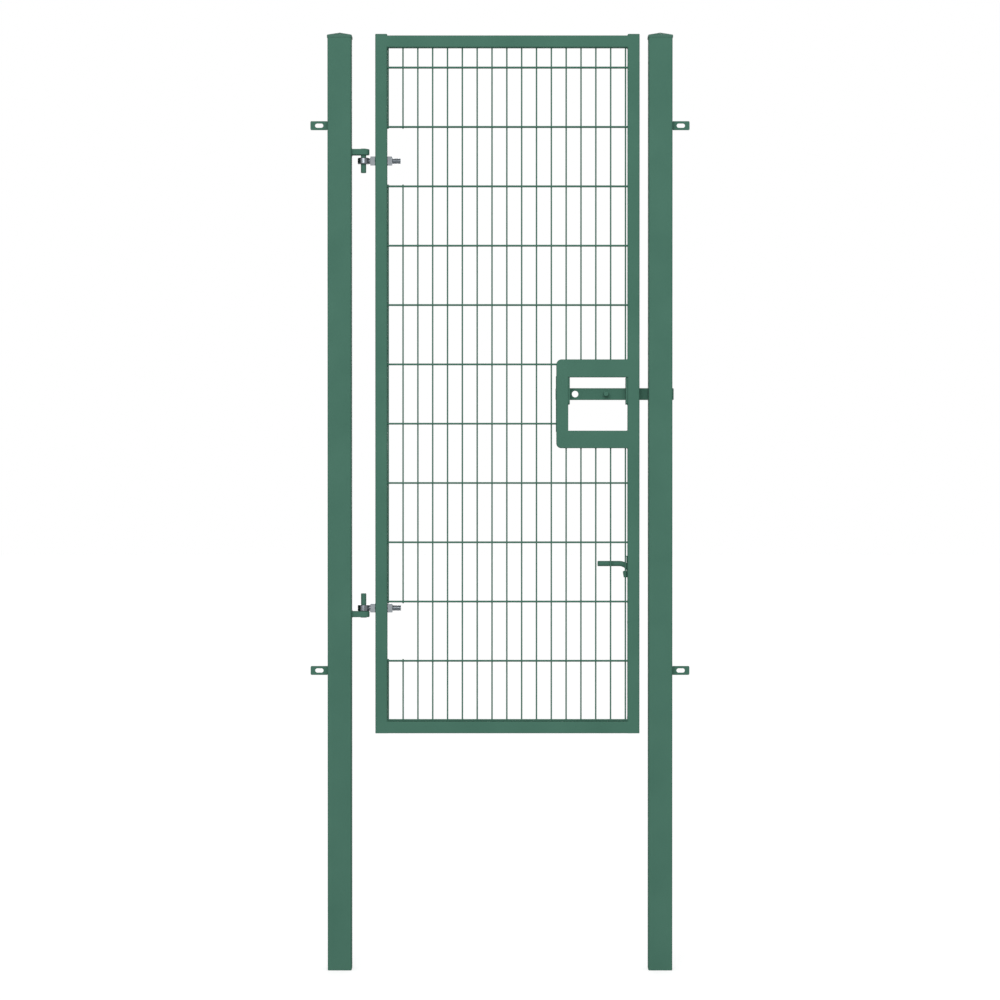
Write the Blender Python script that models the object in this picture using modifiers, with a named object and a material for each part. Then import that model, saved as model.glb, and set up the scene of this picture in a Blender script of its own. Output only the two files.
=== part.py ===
"""Single-leaf gate of twin wire mesh, hung on eye bolts between two square steel posts.

Metres. X runs from the hinge post to the latch post, Y from the front to the back and Z up.
The origin is on the foot of the hinge post, in the middle of its outer wall. The ground line lies
above it by the length that stands in the ground.
"""

import math

import bmesh
import bpy
from mathutils import Matrix, Vector

# Posts: square tube with rounded corners
POST_SIDE = 0.080
POST_WALL = 0.003
POST_CORNER = 0.006
POST_ABOVE_GROUND = 2.395
POST_IN_GROUND = 0.750
POST_OPENING = 1.000

# Plastic pyramid cap over each post
CAP_SKIRT = 0.0013
CAP_SKIRT_DEPTH = 0.009
CAP_ROOF = 0.002
CAP_RISE = 0.011

# Slotted lugs that take the fence panels beside the gate
LUG_LENGTH = 0.059
LUG_HEIGHT = 0.030
LUG_THICKNESS = 0.005
LUG_CORNER = 0.004
LUG_SLOT_LENGTH = 0.028
LUG_SLOT_WIDTH = 0.0145
LUG_BELOW_POST_TOP = 0.300
LUG_ABOVE_GROUND = 0.258

# Leaf frame: square tube
HINGE_SIDE_GAP = 0.080
LATCH_SIDE_GAP = 0.030
GROUND_GAP = 0.047
LEAF_HEIGHT = 2.350
TUBE_SIDE = 0.040
TUBE_WALL = 0.002
TUBE_CORNER = 0.004
STILE_CAP_HEIGHT = 0.005
STILE_CAP_PLUG = 0.015
STILE_CAP_CHAMFER = 0.0015

# Twin wire mesh: single uprights between a front and a back cross wire
UPRIGHT_WIRE = 0.005
CROSS_WIRE = 0.006
UPRIGHT_PITCH = 0.050
CROSS_PITCH = 0.200
WELD_SINK = 0.0005
WIRE_STUB = 0.006
BAY_MARGIN = 0.010

# Hinges: a fixed arm and pin on the post, an adjustable eye bolt through the stile
PIN_DIAMETER = 0.018
PIN_REACH = 0.060
PIN_CHAMFER = 0.0015
ARM_WIDTH = 0.036
ARM_HEIGHT = 0.020
ARM_TIP_PAST_PIN = 0.002
EYE_DIAMETER = 0.040
EYE_CHEEK = 0.0005
EYE_LIFT_PLAY = 0.0095
BOLT_DIAMETER = 0.020
BOLT_ROOT = 0.0063
BOLT_TIP = 0.046
BOLT_PLAY = 0.0005
NUT_FLATS = 0.030
NUT_HEIGHT = 0.0175
HINGE_BAY_STEPS = 2
LOWER_HINGE_UNDER_WIRE = 0.0215
UPPER_HINGE_OVER_WIRE = 0.0850

# Latch surround: a welded box section round the hand opening
SURROUND_ABOVE_LEAF_FOOT = 0.961
SURROUND_HEIGHT = 0.299
SURROUND_BAND = 0.040
SURROUND_TOP_BAND = 0.060
SURROUND_FOOT_BAND = 0.059
SURROUND_WALL = 0.003
SURROUND_CORNER = 0.017
SURROUND_EDGE = 0.003
WINDOW_WIDTH = 0.200
SIDE_STRIP_THICKNESS = 0.0012
SIDE_STRIP_OVERLAP = 0.004

# Slide bar behind the leaf and the latch post
BAR_HEIGHT = 0.040
BAR_THICKNESS = 0.008
BAR_ABOVE_WINDOW_FOOT = 0.1045
BAR_BEHIND_POST = 0.006
BAR_PAST_POST = 0.008
BAR_PAST_SURROUND = 0.002
BAR_CORNER = 0.003
PADLOCK_HOLE = 0.022
PADLOCK_HOLE_CLEARANCE = 0.008
KNOB_DIAMETER = 0.017
KNOB_LENGTH = 0.040
KNOB_FROM_GUIDE = 0.123
KNOB_CHAMFER = 0.003
GUIDE_THICKNESS = 0.005
GUIDE_BELOW_BAR = 0.0155
GUIDE_BEHIND_BAR = 0.008
GUIDE_CORNER = 0.006

# Drop bolt behind the latch stile
DROP_ROD = 0.018
DROP_ROD_FROM_STILE_EDGE = 0.013
DROP_ROD_STANDOFF = 0.006
DROP_HANDLE_ABOVE_LEAF_FOOT = 0.571
DROP_HANDLE_LENGTH = 0.113
DROP_BEND_RADIUS = 0.040
DROP_FOOT_ABOVE_LEAF_FOOT = 0.010
DROP_TRAVEL = 0.150
DROP_GUIDE_THICKNESS = 0.006
DROP_GUIDE_WIDTH = 0.026
DROP_LOWER_GUIDE_ABOVE_LEAF_FOOT = 0.050
KEEP_THICKNESS = 0.006
KEEP_SPINE = 0.003
KEEP_REACH = 0.015
KEEP_LOWER_PRONG = 0.022
KEEP_UPPER_PRONG = 0.005
KEEP_MOUTH = 0.048
KEEP_SLANT = 0.003

# Fits: the gap at a seat, round a sliding piece and in front of a stop
SEAT_GAP = 0.0003
RUNNING_GAP = 0.0005
STOP_GAP = 0.005

# Facets
WIRE_SIDES = 6
SQUARE_SIDES = 4
ROUND_SIDES = 24
CORNER_STEPS = 4
MERGE_DISTANCE = 0.00001

# Places worked out from the sizes above
HINGE_POST_X = -POST_WALL / 2
POST_INNER_X = HINGE_POST_X + POST_SIDE
LATCH_POST_X = POST_INNER_X + POST_OPENING
POST_END_X = LATCH_POST_X + POST_SIDE
POST_TOP_Z = POST_IN_GROUND + POST_ABOVE_GROUND
PIN_X = POST_INNER_X + HINGE_SIDE_GAP / 2
LEAF_X = POST_INNER_X + HINGE_SIDE_GAP
LEAF_END_X = LATCH_POST_X - LATCH_SIDE_GAP
STILE_INNER_X = LEAF_X + TUBE_SIDE
LATCH_STILE_X = LEAF_END_X - TUBE_SIDE
LEAF_FOOT_Z = POST_IN_GROUND + GROUND_GAP
LEAF_TOP_Z = LEAF_FOOT_Z + LEAF_HEIGHT
BOTTOM_RAIL_TOP_Z = LEAF_FOOT_Z + TUBE_SIDE
TOP_RAIL_FOOT_Z = LEAF_TOP_Z - TUBE_SIDE
TUBE_BACK_Y = TUBE_SIDE / 2
EYE_HEIGHT = BOLT_DIAMETER + 2 * EYE_CHEEK
SURROUND_X = LATCH_STILE_X - WINDOW_WIDTH - SURROUND_BAND
WINDOW_X = LATCH_STILE_X - WINDOW_WIDTH
SURROUND_FOOT_Z = LEAF_FOOT_Z + SURROUND_ABOVE_LEAF_FOOT
SURROUND_TOP_Z = SURROUND_FOOT_Z + SURROUND_HEIGHT
WINDOW_FOOT_Z = SURROUND_FOOT_Z + SURROUND_FOOT_BAND
WINDOW_TOP_Z = SURROUND_TOP_Z - SURROUND_TOP_BAND
BAR_FRONT_Y = POST_SIDE / 2 + BAR_BEHIND_POST
BAR_Z = WINDOW_FOOT_Z + BAR_ABOVE_WINDOW_FOOT + BAR_HEIGHT / 2
DROP_ROD_X = LATCH_STILE_X + DROP_ROD_FROM_STILE_EDGE
DROP_ROD_Y = TUBE_BACK_Y + DROP_ROD_STANDOFF + DROP_ROD / 2
DROP_HANDLE_Z = LEAF_FOOT_Z + DROP_HANDLE_ABOVE_LEAF_FOOT

GREEN = ("moss_green_powder_coat", (0.0800, 0.1650, 0.1280), 0.45, 0.0)
ZINC = ("zinc_plated_steel", (0.5200, 0.5400, 0.5600), 0.35, 0.9)
PLASTIC = ("dark_green_plastic", (0.0400, 0.0900, 0.0700), 0.55, 0.0)


def clear_scene():
    for obj in list(bpy.data.objects):
        bpy.data.objects.remove(obj, do_unlink=True)


def new_collection(name):
    collection = bpy.data.collections.new(name)
    bpy.context.scene.collection.children.link(collection)
    return collection


def finish_material(finish):
    name, colour, roughness, metallic = finish
    material = bpy.data.materials.get(name)
    if material is None:
        material = bpy.data.materials.new(name)
        material.use_nodes = True
        shader = material.node_tree.nodes["Principled BSDF"]
        shader.inputs["Base Color"].default_value = (*colour, 1.0)
        shader.inputs["Roughness"].default_value = roughness
        shader.inputs["Metallic"].default_value = metallic
    return material


def add_object(name, data, finish, collection):
    obj = bpy.data.objects.new(name, data)
    data.materials.append(finish_material(finish))
    collection.objects.link(obj)
    return obj


# Outlines


def arc(centre, radius, start, end, steps):
    points = []
    for step in range(steps + 1):
        angle = math.radians(start + (end - start) * step / steps)
        points.append((centre[0] + radius * math.cos(angle), centre[1] + radius * math.sin(angle)))
    return points


def circle(radius, centre=(0.0, 0.0), sides=ROUND_SIDES):
    return arc(centre, radius, 0, 360, sides)[:-1]


def hexagon(flats):
    return circle(flats / 2 / math.cos(math.pi / 6), sides=6)


def rounded_box(width, height, corner, centre=(0.0, 0.0)):
    x = width / 2 - corner
    y = height / 2 - corner
    points = []
    for quarter, (sx, sy) in enumerate(((1, 1), (-1, 1), (-1, -1), (1, -1))):
        corner_centre = (centre[0] + sx * x, centre[1] + sy * y)
        points += arc(corner_centre, corner, 90 * quarter, 90 * quarter + 90, CORNER_STEPS)
    return points


def slot(length, width, centre):
    reach = (length - width) / 2
    half_turn = ROUND_SIDES // 2
    right = arc((centre[0] + reach, centre[1]), width / 2, -90, 90, half_turn)
    left = arc((centre[0] - reach, centre[1]), width / 2, 90, 270, half_turn)
    return right + left


def tongue(length, width):
    """A bar end of the given length from x=0 to the centre of its round tip."""
    tip = arc((length, 0.0), width / 2, -90, 90, ROUND_SIDES // 2)
    return [(0.0, -width / 2)] + tip + [(0.0, width / 2)]


# Making solids


def plate(name, loops, thickness, finish, collection):
    """Fill flat outlines, the first one outside and the rest as holes, and give them thickness."""
    curve = bpy.data.curves.new(name, "CURVE")
    curve.dimensions = "2D"
    curve.fill_mode = "BOTH"
    curve.extrude = thickness / 2
    for loop in loops:
        spline = curve.splines.new("POLY")
        spline.points.add(len(loop) - 1)
        for point, (x, y) in zip(spline.points, loop):
            point.co = (x, y, 0.0, 1.0)
        spline.use_cyclic_u = True
    return add_object(name, curve, finish, collection)


def turned(name, profile, steps, finish, collection):
    """Turn a profile of (radius, z) points, listed from the top down, about Z."""
    mesh = bpy.data.meshes.new(name)
    bm = bmesh.new()
    verts = [bm.verts.new((radius, 0.0, z)) for radius, z in profile]
    for upper, lower in zip(verts, verts[1:]):
        bm.edges.new((upper, lower))
    bm.to_mesh(mesh)
    bm.free()
    obj = add_object(name, mesh, finish, collection)
    screw = obj.modifiers.new("turn", "SCREW")
    screw.steps = steps
    screw.render_steps = steps
    screw.use_merge_vertices = True
    screw.merge_threshold = MERGE_DISTANCE
    screw.use_smooth_shade = False
    return obj


def add_cylinder(bm, diameter, start, end, sides, twist=0.0):
    axis = Vector(end) - Vector(start)
    turn = axis.to_track_quat("Z", "Y").to_matrix().to_4x4()
    place = Matrix.Translation((Vector(start) + Vector(end)) / 2) @ turn
    bmesh.ops.create_cone(bm, cap_ends=True, segments=sides, radius1=diameter / 2,
                          radius2=diameter / 2, depth=axis.length,
                          matrix=place @ Matrix.Rotation(twist, 4, "Z"))


def cylinder(name, diameter, start, end, sides, finish, collection):
    mesh = bpy.data.meshes.new(name)
    bm = bmesh.new()
    add_cylinder(bm, diameter, start, end, sides)
    bm.to_mesh(mesh)
    bm.free()
    return add_object(name, mesh, finish, collection)


def as_mesh(obj):
    """Turn a curve object into a welded mesh object of the same name and place."""
    bpy.context.view_layer.update()
    evaluated = obj.evaluated_get(bpy.context.evaluated_depsgraph_get())
    mesh = bpy.data.meshes.new_from_object(evaluated)
    bm = bmesh.new()
    bm.from_mesh(mesh)
    bmesh.ops.remove_doubles(bm, verts=bm.verts, dist=MERGE_DISTANCE)
    bm.to_mesh(mesh)
    bm.free()
    name = obj.name
    matrix = obj.matrix_world.copy()
    collection = obj.users_collection[0]
    bpy.data.objects.remove(obj, do_unlink=True)
    solid = bpy.data.objects.new(name, mesh)
    solid.matrix_world = matrix
    collection.objects.link(solid)
    return solid


def combine(obj, other, operation):
    """Cut or join a mesh object with another one, which is kept as a hidden guide."""
    other.hide_render = True
    other.display_type = "WIRE"
    boolean = obj.modifiers.new(other.name, "BOOLEAN")
    boolean.operation = operation
    boolean.solver = "EXACT"
    boolean.object = other


def stand(obj, location, facing="UP"):
    """Place a piece whose thickness lies along Z, UP, or turned FRONT, towards -Y, or SIDE, along X."""
    turns = {"UP": Matrix.Identity(4),
             "FRONT": Matrix.Rotation(math.pi / 2, 4, "X"),
             "SIDE": Matrix.Rotation(math.pi / 2, 4, "Z") @ Matrix.Rotation(math.pi / 2, 4, "X")}
    obj.matrix_world = Matrix.Translation(location) @ turns[facing]
    return obj


def square_tube(name, side, wall, corner, length, finish, collection):
    outside = rounded_box(side, side, corner)
    inside = rounded_box(side - 2 * wall, side - 2 * wall, corner - wall)
    return plate(name, [outside, inside], length, finish, collection)


# Posts


def build_posts(parts):
    for name, side_x in (("hinge", HINGE_POST_X), ("latch", LATCH_POST_X)):
        x = side_x + POST_SIDE / 2
        post = square_tube(f"{name}_post", POST_SIDE, POST_WALL, POST_CORNER, POST_TOP_Z, GREEN, parts)
        stand(post, (x, 0.0, POST_TOP_Z / 2))
        build_post_cap(f"{name}_post_cap", x, parts)


def build_post_cap(name, x, parts):
    """A four-sided turned shape: pyramid, skirt outside the tube and roof over its end."""
    to_corner = math.sqrt(2)
    pocket = (POST_SIDE / 2 + SEAT_GAP) * to_corner
    outside = pocket + CAP_SKIRT * to_corner
    skirt_top = SEAT_GAP + CAP_ROOF
    profile = [(0.0, skirt_top + CAP_RISE), (outside, skirt_top),
               (outside, skirt_top - CAP_SKIRT_DEPTH), (pocket, skirt_top - CAP_SKIRT_DEPTH),
               (pocket, SEAT_GAP), (0.0, SEAT_GAP)]
    cap = turned(name, profile, SQUARE_SIDES, PLASTIC, parts)
    cap.matrix_world = (Matrix.Translation((x, 0.0, POST_TOP_Z))
                        @ Matrix.Rotation(math.pi / 4, 4, "Z"))


def build_fence_lugs(parts):
    heights = (("upper", POST_TOP_Z - LUG_BELOW_POST_TOP), ("lower", POST_IN_GROUND + LUG_ABOVE_GROUND))
    outline = rounded_box(LUG_LENGTH - SEAT_GAP, LUG_HEIGHT, LUG_CORNER)
    for side, x in (("hinge", HINGE_POST_X - LUG_LENGTH / 2), ("latch", POST_END_X + LUG_LENGTH / 2)):
        outward = math.copysign(SEAT_GAP / 2, x)
        for level, z in heights:
            opening = slot(LUG_SLOT_LENGTH, LUG_SLOT_WIDTH, (-outward, 0.0))
            lug = plate(f"fence_lug_{side}_{level}", [outline, opening], LUG_THICKNESS, GREEN, parts)
            stand(lug, (x + outward, 0.0, z), "FRONT")


# Mesh


def area_true(diameter):
    """The corner-to-corner size of a bar of few sides with a round wire's section area."""
    return diameter * math.sqrt(2 * math.pi / (WIRE_SIDES * math.sin(2 * math.pi / WIRE_SIDES)))


UPRIGHT_BAR = area_true(UPRIGHT_WIRE)
CROSS_BAR = area_true(CROSS_WIRE)


def pitches(first, last, pitch):
    """Evenly spaced places from first, as many as fit before last, or within a thousandth of a step."""
    return [first + pitch * step for step in range(int((last - first) / pitch + 0.001) + 1)]


def upright_places():
    edge = SEAT_GAP + UPRIGHT_BAR / 2
    return pitches(STILE_INNER_X + edge, LATCH_STILE_X - edge, UPRIGHT_PITCH)


def cross_heights():
    edge = SEAT_GAP + CROSS_BAR / 2
    return pitches(BOTTOM_RAIL_TOP_Z + edge, TOP_RAIL_FOOT_Z - edge, CROSS_PITCH)


def hinge_heights():
    """Eye centres of the lower and the upper hinge, set from the third cross wires from the ends."""
    heights = cross_heights()
    return (heights[HINGE_BAY_STEPS] - LOWER_HINGE_UNDER_WIRE,
            heights[-1 - HINGE_BAY_STEPS] + UPPER_HINGE_OVER_WIRE)


def beside_surround(x):
    return x + UPRIGHT_BAR / 2 + SEAT_GAP > SURROUND_X


def behind_surround(z):
    edge = CROSS_BAR / 2 + SEAT_GAP
    return SURROUND_FOOT_Z - edge < z < SURROUND_TOP_Z + edge


def upright_spans(x):
    """Stretches of the upright at x that are left by the hinge bays."""
    low = BOTTOM_RAIL_TOP_Z + SEAT_GAP
    high = TOP_RAIL_FOOT_Z - SEAT_GAP
    if x > STILE_INNER_X + BOLT_TIP + BAY_MARGIN:
        return [(low, high)]
    spans = []
    for hinge_z in hinge_heights():
        wire_below = max(z for z in cross_heights() if z < hinge_z)
        wire_above = min(z for z in cross_heights() if z > hinge_z)
        spans.append((low, wire_below + WIRE_STUB))
        low = wire_above - WIRE_STUB
    return spans + [(low, high)]


def mesh_section(name, uprights, crosses, parts, guides):
    """Weld uprights, given as (x, low, high), between twin cross wires, given as (z, start, end)."""
    flat_up = math.pi / WIRE_SIDES
    upright_mesh = bpy.data.meshes.new(name)
    bm = bmesh.new()
    for x, low, high in uprights:
        add_cylinder(bm, UPRIGHT_BAR, (x, 0.0, low), (x, 0.0, high), WIRE_SIDES, flat_up)
    bm.to_mesh(upright_mesh)
    bm.free()
    cross_mesh = bpy.data.meshes.new(f"{name}_cross_wires")
    bm = bmesh.new()
    offset = (UPRIGHT_WIRE + CROSS_WIRE) / 2 - WELD_SINK
    for z, start, end in crosses:
        for y in (-offset, offset):
            add_cylinder(bm, CROSS_BAR, (start, y, z), (end, y, z), WIRE_SIDES, flat_up)
    bm.to_mesh(cross_mesh)
    bm.free()
    section = add_object(name, upright_mesh, GREEN, parts)
    cross_wires = add_object(f"{name}_cross_wires", cross_mesh, GREEN, guides)
    combine(section, cross_wires, "UNION")


def build_mesh(parts, guides):
    """The mesh in three sections: the main one, and those above and below the latch surround."""
    free_x = [x for x in upright_places() if not beside_surround(x)]
    latch_x = [x for x in upright_places() if beside_surround(x)]
    split_x = (free_x[-1] + latch_x[0]) / 2
    left = STILE_INNER_X + SEAT_GAP
    right = LATCH_STILE_X - SEAT_GAP

    uprights = [(x, low, high) for x in free_x for low, high in upright_spans(x)]
    crosses = []
    for z in cross_heights():
        end = SURROUND_X - SIDE_STRIP_THICKNESS - 2 * SEAT_GAP if behind_surround(z) else split_x
        crosses.append((z, left, end - SEAT_GAP / 2))
    mesh_section("mesh_main", uprights, crosses, parts, guides)

    for name, low, high in (
            ("mesh_below_latch", BOTTOM_RAIL_TOP_Z + SEAT_GAP, SURROUND_FOOT_Z - SEAT_GAP),
            ("mesh_above_latch", SURROUND_TOP_Z + SEAT_GAP, TOP_RAIL_FOOT_Z - SEAT_GAP)):
        uprights = [(x, low, high) for x in latch_x]
        crosses = [(z, split_x + SEAT_GAP / 2, right) for z in cross_heights()
                   if low < z < high and not behind_surround(z)]
        mesh_section(name, uprights, crosses, parts, guides)


# Leaf frame


def build_stiles(parts, guides):
    middle_z = LEAF_FOOT_Z + LEAF_HEIGHT / 2
    hinge_x = LEAF_X + TUBE_SIDE / 2
    latch_x = LATCH_STILE_X + TUBE_SIDE / 2
    for name, x in (("hinge", hinge_x), ("latch", latch_x)):
        stile = square_tube(f"{name}_stile", TUBE_SIDE, TUBE_WALL, TUBE_CORNER, LEAF_HEIGHT, GREEN, parts)
        stand(stile, (x, 0.0, middle_z))
        build_stile_cap(f"{name}_stile_cap", x, parts)
        if name == "hinge":
            drill_bolt_holes(as_mesh(stile), guides)


def drill_bolt_holes(stile, guides):
    for level, z in zip(("lower", "upper"), hinge_heights()):
        drill = cylinder(f"stile_drill_{level}", BOLT_DIAMETER + 2 * BOLT_PLAY,
                         (LEAF_X - TUBE_SIDE / 2, 0.0, z), (STILE_INNER_X + TUBE_SIDE / 2, 0.0, z),
                         ROUND_SIDES, GREEN, guides)
        combine(stile, drill, "DIFFERENCE")


def build_stile_cap(name, x, parts):
    """A square plug pushed into the tube's end, with a thin chamfered head."""
    to_corner = math.sqrt(2)
    head = TUBE_SIDE / 2
    plug = TUBE_SIDE / 2 - TUBE_WALL - SEAT_GAP
    profile = [(0.0, STILE_CAP_HEIGHT), (head - STILE_CAP_CHAMFER, STILE_CAP_HEIGHT),
               (head, STILE_CAP_HEIGHT - STILE_CAP_CHAMFER), (head, SEAT_GAP),
               (plug - TUBE_CORNER / 2, SEAT_GAP), (plug - TUBE_CORNER / 2, -STILE_CAP_PLUG),
               (0.0, -STILE_CAP_PLUG)]
    corners = [(radius * to_corner, z) for radius, z in profile]
    cap = turned(name, corners, SQUARE_SIDES, PLASTIC, parts)
    cap.matrix_world = (Matrix.Translation((x, 0.0, LEAF_TOP_Z))
                        @ Matrix.Rotation(math.pi / 4, 4, "Z"))


def build_rails(parts):
    length = LATCH_STILE_X - STILE_INNER_X - 2 * SEAT_GAP
    middle_x = (LATCH_STILE_X + STILE_INNER_X) / 2
    for name, z in (("top", LEAF_TOP_Z - TUBE_SIDE / 2), ("bottom", LEAF_FOOT_Z + TUBE_SIDE / 2)):
        rail = square_tube(f"{name}_rail", TUBE_SIDE, TUBE_WALL, TUBE_CORNER, length, GREEN, parts)
        stand(rail, (middle_x, 0.0, z), "SIDE")


# Hinges


def build_hinges(parts, guides):
    """The lower pin stands up through its eye and carries it; the upper one hangs down."""
    lower_z, upper_z = hinge_heights()
    seat = EYE_HEIGHT / 2 + SEAT_GAP + ARM_HEIGHT / 2
    build_hinge("lower", lower_z, lower_z - seat, 1, parts, guides)
    build_hinge("upper", upper_z, upper_z + seat - SEAT_GAP + EYE_LIFT_PLAY, -1, parts, guides)


def build_hinge(level, eye_z, arm_z, pin_way, parts, guides):
    arm = plate(f"hinge_arm_{level}",
                [tongue(PIN_X - POST_INNER_X - SEAT_GAP + ARM_TIP_PAST_PIN, ARM_WIDTH),
                 circle(PIN_DIAMETER / 2 + SEAT_GAP, (PIN_X - POST_INNER_X - SEAT_GAP, 0.0))],
                ARM_HEIGHT, GREEN, parts)
    stand(arm, (POST_INNER_X + SEAT_GAP, 0.0, arm_z))
    build_pin(level, arm_z, pin_way, parts)
    build_eye_bolt(level, eye_z, parts, guides)
    for side, x in (("outer", LEAF_X - SEAT_GAP - NUT_HEIGHT / 2),
                    ("inner", STILE_INNER_X + SEAT_GAP + NUT_HEIGHT / 2)):
        bore = circle(BOLT_DIAMETER / 2 + SEAT_GAP)
        nut = plate(f"hinge_nut_{level}_{side}", [hexagon(NUT_FLATS), bore], NUT_HEIGHT, ZINC, parts)
        stand(nut, (x, 0.0, eye_z), "SIDE")


def build_pin(level, arm_z, pin_way, parts):
    radius = PIN_DIAMETER / 2
    tip = ARM_HEIGHT / 2 + PIN_REACH
    profile = [(0.0, tip), (radius - PIN_CHAMFER, tip), (radius, tip - PIN_CHAMFER),
               (radius, -ARM_HEIGHT / 2), (0.0, -ARM_HEIGHT / 2)]
    pin = turned(f"hinge_pin_{level}", profile, ROUND_SIDES, GREEN, parts)
    flip = Matrix.Identity(4) if pin_way > 0 else Matrix.Rotation(math.pi, 4, "X")
    pin.matrix_world = Matrix.Translation((PIN_X, 0.0, arm_z)) @ flip


def build_eye_bolt(level, z, parts, guides):
    bore_radius = PIN_DIAMETER / 2 + RUNNING_GAP
    ring = plate(f"eye_bolt_{level}", [circle(EYE_DIAMETER / 2), circle(bore_radius)],
                 EYE_HEIGHT, ZINC, parts)
    stand(ring, (PIN_X, 0.0, z))
    ring = as_mesh(ring)
    root_x = PIN_X + EYE_DIAMETER / 2 - BOLT_ROOT
    shank = cylinder(f"eye_shank_{level}", BOLT_DIAMETER, (root_x, 0.0, z),
                     (STILE_INNER_X + BOLT_TIP, 0.0, z), ROUND_SIDES, ZINC, guides)
    combine(ring, shank, "UNION")


# Latch


def surround_outline(inset, end_x):
    """The surround's C shape, open at the latch stile, with its walls moved in by inset."""
    left = SURROUND_X + inset
    top = SURROUND_TOP_Z - inset
    foot = SURROUND_FOOT_Z + inset
    corner = SURROUND_CORNER - inset
    outline = [(end_x, top)]
    outline += arc((left + corner, top - corner), corner, 90, 180, 2 * CORNER_STEPS)
    outline += arc((left + corner, foot + corner), corner, 180, 270, 2 * CORNER_STEPS)
    outline += [(end_x, foot), (end_x, WINDOW_FOOT_Z - inset),
                (WINDOW_X - inset, WINDOW_FOOT_Z - inset), (WINDOW_X - inset, WINDOW_TOP_Z + inset),
                (end_x, WINDOW_TOP_Z + inset)]
    return outline


def build_surround(parts, guides):
    """A hollow box section: the bent C with rounded edges, less a smaller C that runs out at its ends."""
    end_x = LATCH_STILE_X - SEAT_GAP
    surround = as_mesh(stand(plate("latch_surround", [surround_outline(0.0, end_x)],
                                   TUBE_SIDE, GREEN, parts), (0.0, 0.0, 0.0), "FRONT"))
    bevel = surround.modifiers.new("edges", "BEVEL")
    bevel.width = SURROUND_EDGE
    bevel.segments = 2
    bevel.limit_method = "ANGLE"
    bevel.angle_limit = math.radians(60)
    hollow = as_mesh(stand(plate("surround_hollow",
                                 [surround_outline(SURROUND_WALL, end_x + SURROUND_WALL)],
                                 TUBE_SIDE - 2 * SURROUND_WALL, GREEN, guides),
                           (0.0, 0.0, 0.0), "FRONT"))
    combine(surround, hollow, "DIFFERENCE")


def build_side_strip(parts):
    height = WINDOW_TOP_Z - WINDOW_FOOT_Z + 2 * SIDE_STRIP_OVERLAP
    width = TUBE_SIDE - 2 * TUBE_CORNER
    strip = plate("surround_side_strip", [rounded_box(width, height, SIDE_STRIP_OVERLAP)],
                  SIDE_STRIP_THICKNESS, GREEN, parts)
    stand(strip, (SURROUND_X - SEAT_GAP - SIDE_STRIP_THICKNESS / 2, 0.0,
                  (WINDOW_TOP_Z + WINDOW_FOOT_Z) / 2), "SIDE")


def build_bar_guides(parts):
    """Two plates across the hand opening that reach back and carry the bar in a slot."""
    front = -TUBE_SIDE / 2 + SURROUND_EDGE
    back = BAR_FRONT_Y + BAR_THICKNESS + GUIDE_BEHIND_BAR
    top = WINDOW_TOP_Z - SEAT_GAP
    foot = BAR_Z - BAR_HEIGHT / 2 - GUIDE_BELOW_BAR
    outline = rounded_box(back - front, top - foot, GUIDE_CORNER, ((front + back) / 2, (top + foot) / 2))
    opening = rounded_box(BAR_THICKNESS + 2 * RUNNING_GAP, BAR_HEIGHT + 2 * RUNNING_GAP, RUNNING_GAP,
                          (BAR_FRONT_Y + BAR_THICKNESS / 2, BAR_Z))
    for side, x in (("left", WINDOW_X + SEAT_GAP + GUIDE_THICKNESS / 2),
                    ("right", LATCH_STILE_X - SEAT_GAP - GUIDE_THICKNESS / 2)):
        guide = plate(f"bar_guide_{side}", [outline, opening], GUIDE_THICKNESS, GREEN, parts)
        stand(guide, (x, 0.0, 0.0), "SIDE")


def build_slide_bar(parts):
    """The bar reaches behind the latch post, with a padlock hole beside the left guide."""
    left = SURROUND_X - BAR_PAST_SURROUND
    right = POST_END_X + BAR_PAST_POST
    middle_x = (left + right) / 2
    hole_x = WINDOW_X + SEAT_GAP + GUIDE_THICKNESS + PADLOCK_HOLE_CLEARANCE + PADLOCK_HOLE / 2
    outline = rounded_box(right - left, BAR_HEIGHT, BAR_CORNER)
    bar = plate("slide_bar", [outline, circle(PADLOCK_HOLE / 2, (hole_x - middle_x, 0.0))],
                BAR_THICKNESS, GREEN, parts)
    stand(bar, (middle_x, BAR_FRONT_Y + BAR_THICKNESS / 2, BAR_Z), "FRONT")
    knob_radius = KNOB_DIAMETER / 2
    profile = [(0.0, KNOB_LENGTH), (knob_radius - KNOB_CHAMFER, KNOB_LENGTH),
               (knob_radius, KNOB_LENGTH - KNOB_CHAMFER), (knob_radius, 0.0), (0.0, 0.0)]
    knob = turned("slide_knob", profile, ROUND_SIDES, GREEN, parts)
    stand(knob, (WINDOW_X + SEAT_GAP + GUIDE_THICKNESS + KNOB_FROM_GUIDE,
                 BAR_FRONT_Y - SEAT_GAP, BAR_Z), "FRONT")


# Drop bolt


def build_drop_bolt(parts):
    """One bent rod: the handle lies along the leaf and the shank runs down behind the stile."""
    bend = arc((-DROP_BEND_RADIUS, -DROP_BEND_RADIUS), DROP_BEND_RADIUS, 90, 0, 2 * CORNER_STEPS)
    shank = DROP_HANDLE_ABOVE_LEAF_FOOT - DROP_FOOT_ABOVE_LEAF_FOOT
    route = [(-DROP_HANDLE_LENGTH, 0.0)] + bend + [(0.0, -shank)]
    curve = bpy.data.curves.new("drop_bolt", "CURVE")
    curve.dimensions = "3D"
    curve.bevel_depth = DROP_ROD / 2
    curve.bevel_resolution = 4
    curve.use_fill_caps = True
    spline = curve.splines.new("POLY")
    spline.points.add(len(route) - 1)
    for point, (x, z) in zip(spline.points, route):
        point.co = (x, 0.0, z, 1.0)
    rod = add_object("drop_bolt", curve, GREEN, parts)
    rod.location = (DROP_ROD_X, DROP_ROD_Y, DROP_HANDLE_Z)


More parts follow.
